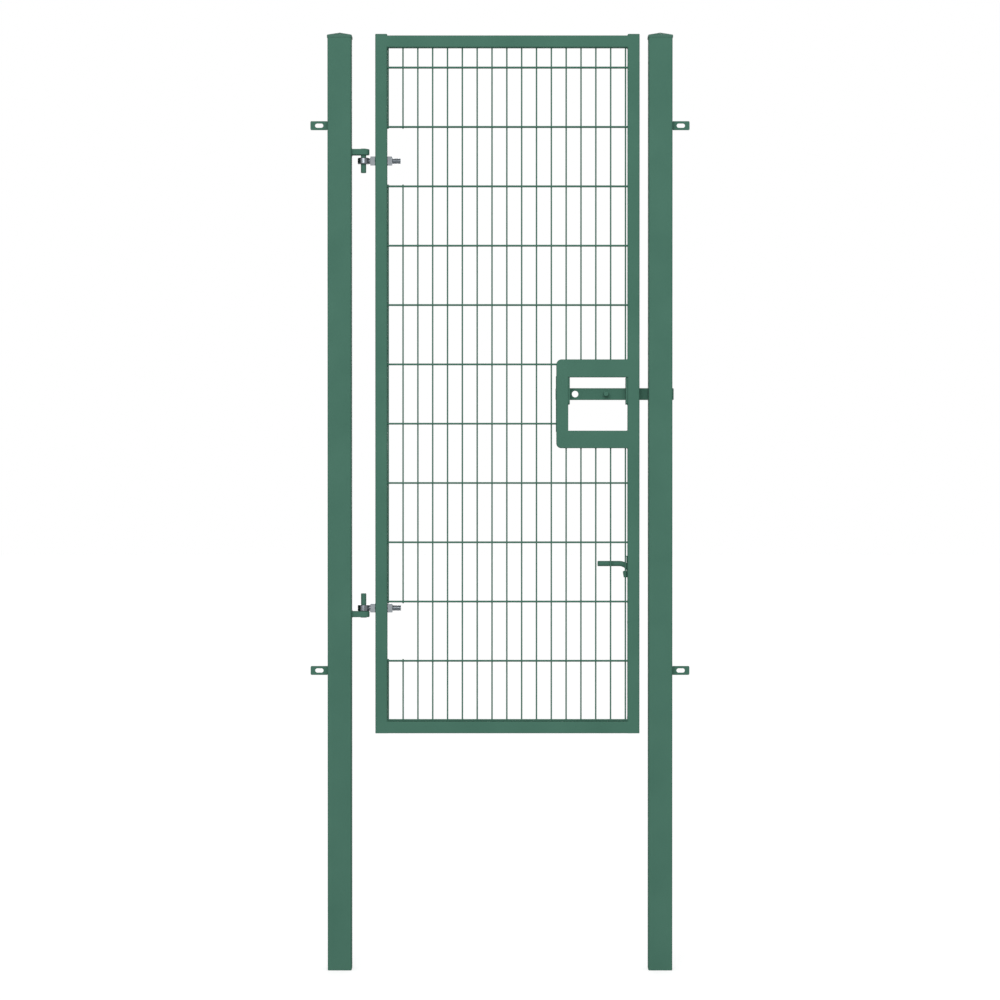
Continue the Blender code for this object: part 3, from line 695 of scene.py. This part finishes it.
def make_wire_mesh():
    """One welded panel: uprights, twin cross wires in front and behind, a weld at each crossing."""
    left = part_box("hinge_stile")[1].x
    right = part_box("latch_stile")[0].x
    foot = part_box("bottom_rail")[1].z
    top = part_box("top_rail")[0].z
    surround_low, surround_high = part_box("latch_surround")
    strip_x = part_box("surround_side_strip")[0].x
    rows = spaced(foot + FIRST_CROSS_WIRE, top, CROSS_PITCH)
    bays = hinge_bays(rows)

    cross_ends = {}
    wires = bmesh.new()
    welds = bmesh.new()
    for z in rows:
        beside = surround_low.z - CROSS_RADIUS < z < surround_high.z + CROSS_RADIUS
        cross_ends[z] = strip_x if beside else right
        for y in (-CROSS_WIRE_OFFSET, CROSS_WIRE_OFFSET):
            start = Vector((left, y, z))
            end = Vector((cross_ends[z], y, z))
            add_wire(wires, start, end, CROSS_RADIUS, Z)
            for place in (start, end):
                add_blob(welds, place, CROSS_END_WELD)

    for index, x in enumerate(spaced(left + FIRST_UPRIGHT, right - UPRIGHT_RADIUS, UPRIGHT_PITCH)):
        for low, high in upright_spans(index, x, foot, top, bays):
            add_wire(wires, Vector((x, 0.0, low)), Vector((x, 0.0, high)), UPRIGHT_RADIUS, Y)
            for z in (low, high):
                if z in (foot, top, surround_low.z, surround_high.z):
                    add_blob(welds, Vector((x, 0.0, z)), UPRIGHT_END_WELD)
            for z in rows:
                if low < z < high and x < cross_ends[z]:
                    for y in (-UPRIGHT_RADIUS, UPRIGHT_RADIUS):
                        add_blob(welds, Vector((x, y, z)), SPOT_WELD)
    add_piece("mesh_wires", wires, COAT, "leaf",
              "mesh_main", "mesh_above_latch", "mesh_below_latch")
    add_piece("mesh_spot_welds", welds, COAT, "leaf")


# Hinges


def make_hinges():
    """Two arms on the hinge post with their pins, the lower upwards and the upper downwards."""
    for level, way in (("lower", 1), ("upper", -1)):
        make_hinge_arm(level)
        make_hinge_pin(level, way)
        make_eye_bolt(level)
        for side in ("outer", "inner"):
            make_nut(f"hinge_nut_{level}_{side}")


def make_hinge_arm(level):
    """A round-ended bar, welded to the post all round."""
    low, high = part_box(f"hinge_arm_{level}")
    post_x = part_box("hinge_post")[1].x
    width = high.y - low.y
    bm = bmesh.new()
    add_plate(bm, facing(Vector((post_x, 0.0, (low.z + high.z) / 2)), X, Y),
              [tongue(high.x - post_x - width / 2, width)], high.z - low.z, ARM_EDGE)
    for z in (low.z, high.z):
        add_weld(bm, Vector((post_x, low.y, z)), Vector((post_x, high.y, z)), X)
    for y in (low.y, high.y):
        add_weld(bm, Vector((post_x, y, low.z)), Vector((post_x, y, high.z)), X)
    add_piece(f"hinge_arm_{level}_bar", bm, COAT, "posts", f"hinge_arm_{level}")


def make_hinge_pin(level, way):
    """The pin through an arm, whose sawn end stands a hair proud of it, inside its round bead."""
    low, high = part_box(f"hinge_pin_{level}")
    radius = (high.x - low.x) / 2
    length = high.z - low.z
    root_z = low.z if way > 0 else high.z
    place = facing(Vector(((low.x + high.x) / 2, 0.0, root_z)), X, Y * way)
    bm = bmesh.new()
    add_turned(bm, place, [(radius - SAWN_EDGE, -SAWN_EDGE), (radius, 0.0),
                           (radius, length - PIN_CHAMFER), (radius - PIN_CHAMFER, length)])
    add_round_weld(bm, place, radius)
    add_piece(f"hinge_pin_{level}_bar", bm, COAT, "posts", f"hinge_pin_{level}")


def make_eye_bolt(level):
    """A forged eye with rounded rims that flows into its neck, and a thread from the stile on."""
    low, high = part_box(f"eye_bolt_{level}")
    eye_radius = (high.y - low.y) / 2
    half = (high.z - low.z) / 2
    centre = Vector((low.x + eye_radius, 0.0, (low.z + high.z) / 2))
    bore = EYE_BORE / 2
    profile = [(bore, half - SAWN_EDGE), (bore + SAWN_EDGE, half)]
    profile += arc((eye_radius - EYE_ROUNDING, half - EYE_ROUNDING), EYE_ROUNDING, 90, 0,
                   CORNER_STEPS)
    profile += [(radius, -height) for radius, height in reversed(profile)]
    bm = bmesh.new()
    add_turned(bm, facing(centre, X, Y), profile, looped=True)

    shank = BOLT_DIAMETER / 2
    nut_x = middle(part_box(f"hinge_nut_{level}_inner")).x
    neck_start = eye_radius * NECK_START
    neck_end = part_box(f"hinge_nut_{level}_outer")[0].x - centre.x
    sections = []
    for step in range(NECK_STEPS + 1):
        share = step / NECK_STEPS
        width = shank + (NECK_HALF_WIDTH - shank) * (1 - share) ** 2
        sections.append(([(width * x, shank * y) for x, y in circle(1.0)],
                         neck_start + (neck_end - neck_start) * share))
    sections.append((circle(shank), nut_x - centre.x))
    add_stack(bm, facing(centre, Y, Z), sections)
    add_piece(f"eye_bolt_{level}_forging", bm, FORGING_WITH_PAINTED_SHADE, "leaf", f"eye_bolt_{level}")

    bm = bmesh.new()
    add_thread(bm, Vector((nut_x, 0.0, centre.z)), high.x - nut_x, shank)
    add_piece(f"eye_bolt_{level}_thread", bm, ZINC, "leaf")


def add_thread(bm, start, length, radius):
    """A rod along X whose surface follows the helix of a coarse thread, with a chamfered tip."""
    steps = round(length / THREAD_PITCH * THREAD_STEPS)
    rings = []
    for step in range(steps + 1):
        along = length * step / steps
        tip = radius - THREAD_DEPTH + length - along
        ring = []
        for index in range(ROUND_SIDES):
            turn = index / ROUND_SIDES
            phase = (along / THREAD_PITCH - turn) % 1.0
            depth = (abs(2 * phase - 1) - THREAD_FLAT) / (1 - 2 * THREAD_FLAT)
            reach = min(radius - THREAD_DEPTH * min(1.0, max(0.0, depth)), tip)
            angle = 2 * math.pi * turn
            ring.append(start + X * along + (Y * math.cos(angle) + Z * math.sin(angle)) * reach)
        rings.append(ring)
    add_loft(bm, rings)


def make_nut(node):
    """A hexagon nut, flats up and down, whose corners are turned off on both faces."""
    low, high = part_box(node)
    length = high.x - low.x
    flats = high.z - low.z
    face = flats / 2 * NUT_FACE
    sides = 2 * ROUND_SIDES

    def hexagon_reach(index):
        angle = 2 * math.pi * index / sides
        return flats / 2 / math.cos((angle - math.pi / 6) % (math.pi / 3) - math.pi / 6)

    directions = circle(1.0, sides=sides)
    reaches = [hexagon_reach(index + sides // 12) for index in range(sides)]
    turned_off = [(reach - face) * math.tan(NUT_CORNER_ANGLE) for reach in reaches]
    place = facing(Vector((low.x, 0.0, (low.z + high.z) / 2)), Y, Z)
    bore = BOLT_DIAMETER / 2 - THREAD_DEPTH
    sink = NUT_BORE_CHAMFER + THREAD_DEPTH

    def ring(radii, heights):
        return [place @ Vector((x * r, y * r, h))
                for (x, y), r, h in zip(directions, radii, heights)]

    def round_ring(radius, height):
        return ring([radius] * sides, [height] * sides)

    bm = bmesh.new()
    add_loft(bm, [round_ring(bore, sink), round_ring(bore + sink, 0.0), round_ring(face, 0.0),
                  ring(reaches, turned_off), ring(reaches, [length - h for h in turned_off]),
                  round_ring(face, length), round_ring(bore + sink, length),
                  round_ring(bore, length - sink)], looped=True)
    add_piece(f"{node}_hexagon", bm, ZINC, "leaf", node)


# Latch


def make_latch_surround():
    """A box section bent round the hand opening, welded to the latch stile at both ends."""
    low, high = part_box("latch_surround")
    window_x = low.x + SURROUND_SIDE_BAND
    window_foot = low.z + SURROUND_FOOT_BAND
    window_top = high.z - SURROUND_TOP_BAND
    stile_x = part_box("latch_stile")[0].x
    flush_x = stile_x + LEAF_CORNER + SURROUND_EDGE
    reach = SURROUND_CORNER
    outline = [(flush_x, high.z)]
    outline += arc((low.x + reach, high.z - reach), reach, 90, 180, 2 * CORNER_STEPS)
    outline += arc((low.x + reach, low.z + reach), reach, 180, 270, 2 * CORNER_STEPS)
    outline += [(flush_x, low.z), (flush_x, window_foot), (window_x, window_foot),
                (window_x, window_top), (flush_x, window_top)]
    bm = bmesh.new()
    add_plate(bm, facing(Vector((0.0, 0.0, 0.0)), X, Z), [outline], high.y - low.y, SURROUND_EDGE)
    for z in (low.z, window_foot, window_top, high.z):
        add_weld(bm, Vector((stile_x, low.y + LEAF_CORNER, z)),
                 Vector((stile_x, high.y - LEAF_CORNER, z)), X, SMALL_WELD_LEG)
    add_piece("latch_surround_box", bm, COAT, "leaf", "latch_surround")


def make_surround_strip():
    """A thin flat on the surround's outer side."""
    low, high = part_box("surround_side_strip")
    bm = bmesh.new()
    add_plate(bm, facing(middle((low, high)), Y, Z),
              [rounded_box(high.y - low.y, high.z - low.z, STRIP_CORNER)], high.x - low.x,
              STRIP_EDGE)
    add_piece("surround_side_strip_plate", bm, COAT, "leaf", "surround_side_strip")


def make_bar_guides():
    """Plates across the hand opening, slotted for the bar, with a short bead under each."""
    bar_low, bar_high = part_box("slide_bar")
    bar_size = bar_high - bar_low
    for side, outward in (("left", -1), ("right", 1)):
        node = f"bar_guide_{side}"
        low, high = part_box(node)
        centre = middle((low, high))
        bar_place = middle((bar_low, bar_high)) - centre
        wall_x = low.x if outward < 0 else high.x
        bm = bmesh.new()
        add_plate(bm, facing(centre, Y, Z),
                  [rounded_box(high.y - low.y, high.z - low.z, GUIDE_CORNER),
                   rounded_box(bar_size.y + 2 * SLOT_PLAY, bar_size.z + 2 * SLOT_PLAY, SLOT_PLAY,
                               (bar_place.y, bar_place.z))], high.x - low.x, PLATE_EDGE)
        add_weld(bm, Vector((wall_x, low.y + GUIDE_CORNER, low.z)),
                 Vector((wall_x, -low.y, low.z)), X, SMALL_WELD_LEG)
        add_piece(f"{node}_plate", bm, COAT, "leaf", node)


def make_slide_bar():
    """A flat bar with a padlock hole beside its left guide."""
    low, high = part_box("slide_bar")
    guide_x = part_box("bar_guide_left")[1].x
    centre = middle((low, high))
    bm = bmesh.new()
    add_plate(bm, facing(centre, X, Z),
              [rounded_box(high.x - low.x, high.z - low.z, BAR_CORNER),
               circle(PADLOCK_HOLE / 2, (guide_x + PADLOCK_HOLE_FROM_GUIDE - centre.x, 0.0))],
              high.y - low.y, BAR_EDGE)
    add_piece("slide_bar_flat", bm, COAT, "latch_bar", "slide_bar")


def make_slide_knob():
    """A short round bar with a rounded end, welded on the slide bar's front."""
    low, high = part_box("slide_knob")
    bar_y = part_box("slide_bar")[0].y
    radius = (high.x - low.x) / 2
    length = bar_y - low.y
    centre = middle((low, high))
    place = facing(Vector((centre.x, bar_y, centre.z)), X, Z)
    profile = [(radius, 0.0)]
    profile += arc((radius - KNOB_ROUNDING, length - KNOB_ROUNDING), KNOB_ROUNDING, 0, 90,
                   CORNER_STEPS)
    bm = bmesh.new()
    add_turned(bm, place, profile)
    add_round_weld(bm, place, radius)
    add_piece("slide_knob_bar", bm, COAT, "latch_bar", "slide_knob")


# Drop bolt


def make_drop_bolt():
    """One round bar bent to a handle, with chamfered ends."""
    low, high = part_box("drop_bolt")
    radius = DROP_ROD / 2
    shank_x = high.x - radius
    y = (low.y + high.y) / 2
    handle_z = high.z - radius
    route = [(low.x, handle_z), (low.x + ROD_CHAMFER, handle_z)]
    route += arc((shank_x - DROP_BEND_RADIUS, handle_z - DROP_BEND_RADIUS), DROP_BEND_RADIUS,
                 90, 0, BEND_STEPS)
    route += [(shank_x, low.z + ROD_CHAMFER), (shank_x, low.z)]
    path = [Vector((x, y, z)) for x, z in route]
    radii = [radius - ROD_CHAMFER] + [radius] * (len(path) - 2) + [radius - ROD_CHAMFER]
    bm = bmesh.new()
    add_sweep(bm, path, radii, Y, ROUND_SIDES)
    add_piece("drop_bolt_rod", bm, COAT, "drop_rod", "drop_bolt")


def make_drop_bolt_guides():
    """Lugs with a round hole on the stile's back, a bead above and below each."""
    rod_low, rod_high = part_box("drop_bolt")
    rod_x = rod_high.x - DROP_ROD / 2
    stile_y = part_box("latch_stile")[1].y
    reach = (rod_low.y + rod_high.y) / 2 - stile_y
    for level in ("upper", "lower"):
        node = f"drop_guide_{level}"
        low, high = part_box(node)
        outline = [(-y, x) for x, y in tongue(reach, high.x - low.x)]
        bm = bmesh.new()
        add_plate(bm, facing(Vector((rod_x, stile_y, (low.z + high.z) / 2)), X, Y),
                  [outline, circle(DROP_ROD / 2 + SLOT_PLAY, (0.0, reach))], high.z - low.z,
                  DROP_GUIDE_EDGE)
        for z in (low.z, high.z):
            add_weld(bm, Vector((low.x, stile_y, z)), Vector((high.x, stile_y, z)), Y,
                     SMALL_WELD_LEG)
        add_piece(f"{node}_plate", bm, COAT, "leaf", node)


def make_drop_bolt_keep():
    """A small C of plate on the stile's inner face, with a slanted nose below its mouth."""
    low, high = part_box("drop_bolt_keep")
    stile_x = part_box("latch_stile")[0].x
    nose = low.x - stile_x
    top = high.z - low.z
    outline = [(0.0, 0.0), (0.0, top), (-KEEP_UPPER_REACH, top),
               (-KEEP_UPPER_REACH, top - KEEP_SPINE), (-KEEP_SPINE, top - KEEP_SPINE),
               (-KEEP_SPINE, KEEP_NOSE_HEIGHT), (nose + KEEP_NOSE_SLANT, KEEP_NOSE_HEIGHT),
               (nose, KEEP_NOSE_HEIGHT - KEEP_NOSE_SLANT), (nose + KEEP_NOSE_SLANT, 0.0)]
    bm = bmesh.new()
    add_plate(bm, facing(Vector((stile_x, (low.y + high.y) / 2, low.z)), X, Z), [outline],
              high.y - low.y, KEEP_EDGE)
    add_piece("drop_bolt_keep_plate", bm, COAT, "leaf", "drop_bolt_keep")


# Studio


def seen_rays(tree, strength):
    """A brightness for what the camera sees directly or in metal and glass, and none elsewhere."""
    rays = add_node(tree, "ShaderNodeLightPath")
    seen = rays.outputs["Is Camera Ray"]
    for kind in ("Is Glossy Ray", "Is Transmission Ray"):
        seen = add_node(tree, "ShaderNodeMath", {0: seen, 1: rays.outputs[kind]},
                        operation="MAXIMUM").outputs[0]
    return add_node(tree, "ShaderNodeMath", {0: seen, 1: strength},
                    operation="MULTIPLY").outputs[0]


def make_floor():
    """A pale floor under the posts' feet, white to the eye except where the gate shades it."""
    material, tree = new_material("pale_studio_floor")
    shader = add_node(tree, "ShaderNodeBsdfPrincipled",
                      {"Base Color": linear("#c8c8c8"), "Roughness": 0.9,
                       "Specular IOR Level": 0.0, "Emission Color": linear("#ffffff"),
                       "Emission Strength": seen_rays(tree, SEEN_FLOOR)})
    add_node(tree, "ShaderNodeOutputMaterial", {"Surface": shader.outputs["BSDF"]})
    bm = bmesh.new()
    bmesh.ops.create_grid(bm, x_segments=1, y_segments=1, size=FLOOR_HALF)
    mesh = mesh_from(bm, "studio_floor")
    mesh.materials.append(material)
    floor = add_object("studio_floor", mesh)
    floor.location = (0.0, 0.0, cad_low.z - FLOOR_DROP)


def make_world():
    """Soft light from all round, and white wherever the background itself shows."""
    world = bpy.data.worlds.new("studio")
    bpy.context.scene.world = world
    world.use_nodes = True
    tree = world.node_tree
    tree.nodes.clear()
    soft, white = (add_node(tree, "ShaderNodeBackground",
                            {"Color": linear("#ffffff"), "Strength": strength}).outputs[0]
                   for strength in (WORLD_LIGHT, SEEN_WORLD))
    mixed = add_node(tree, "ShaderNodeMixShader", {0: seen_rays(tree, 1.0), 1: soft, 2: white})
    add_node(tree, "ShaderNodeOutputWorld", {"Surface": mixed.outputs[0]})


def add_sun(name, strength, height, turn):
    """A soft sun at a height above the horizon, turned round the gate from straight in front."""
    sun = bpy.data.lights.new(name, "SUN")
    sun.energy = strength
    sun.angle = SUN_SPREAD
    add_object(name, sun).rotation_euler = (math.pi / 2 - height, 0.0, turn)


def make_lights():
    """A soft frontal sun, a weaker one from behind, and a softbox level with the gate's top."""
    add_sun("front_sun", FRONT_SUN, FRONT_SUN_HEIGHT, FRONT_SUN_TURN)
    add_sun("back_sun", BACK_SUN, BACK_SUN_HEIGHT, math.pi)
    box = bpy.data.lights.new("front_softbox", "AREA")
    box.energy = SOFTBOX_POWER
    box.size = SOFTBOX_SIZE
    lamp = add_object("front_softbox", box)
    lamp.location = SOFTBOX_PLACE
    lamp.rotation_euler = (math.pi / 2, 0.0, 0.0)


def make_camera():
    """A long lens straight in front, as in the photograph."""
    lens = bpy.data.cameras.new("front_camera")
    lens.lens = CAMERA_LENS
    lens.sensor_width = CAMERA_SENSOR
    lens.clip_end = CAMERA_REACH
    camera = add_object("front_camera", lens)
    camera.location = CAMERA_PLACE
    camera.rotation_euler = (math.pi / 2 + CAMERA_PITCH, 0.0, 0.0)
    bpy.context.scene.camera = camera


make_posts()
make_fence_lugs()
make_leaf_frame()
make_wire_mesh()
make_hinges()
make_latch_surround()
make_surround_strip()
make_bar_guides()
make_slide_bar()
make_slide_knob()
make_drop_bolt()
make_drop_bolt_guides()
make_drop_bolt_keep()
make_floor()
make_world()
make_lights()
make_camera()
bpy.context.scene.view_settings.view_transform = "Standard"
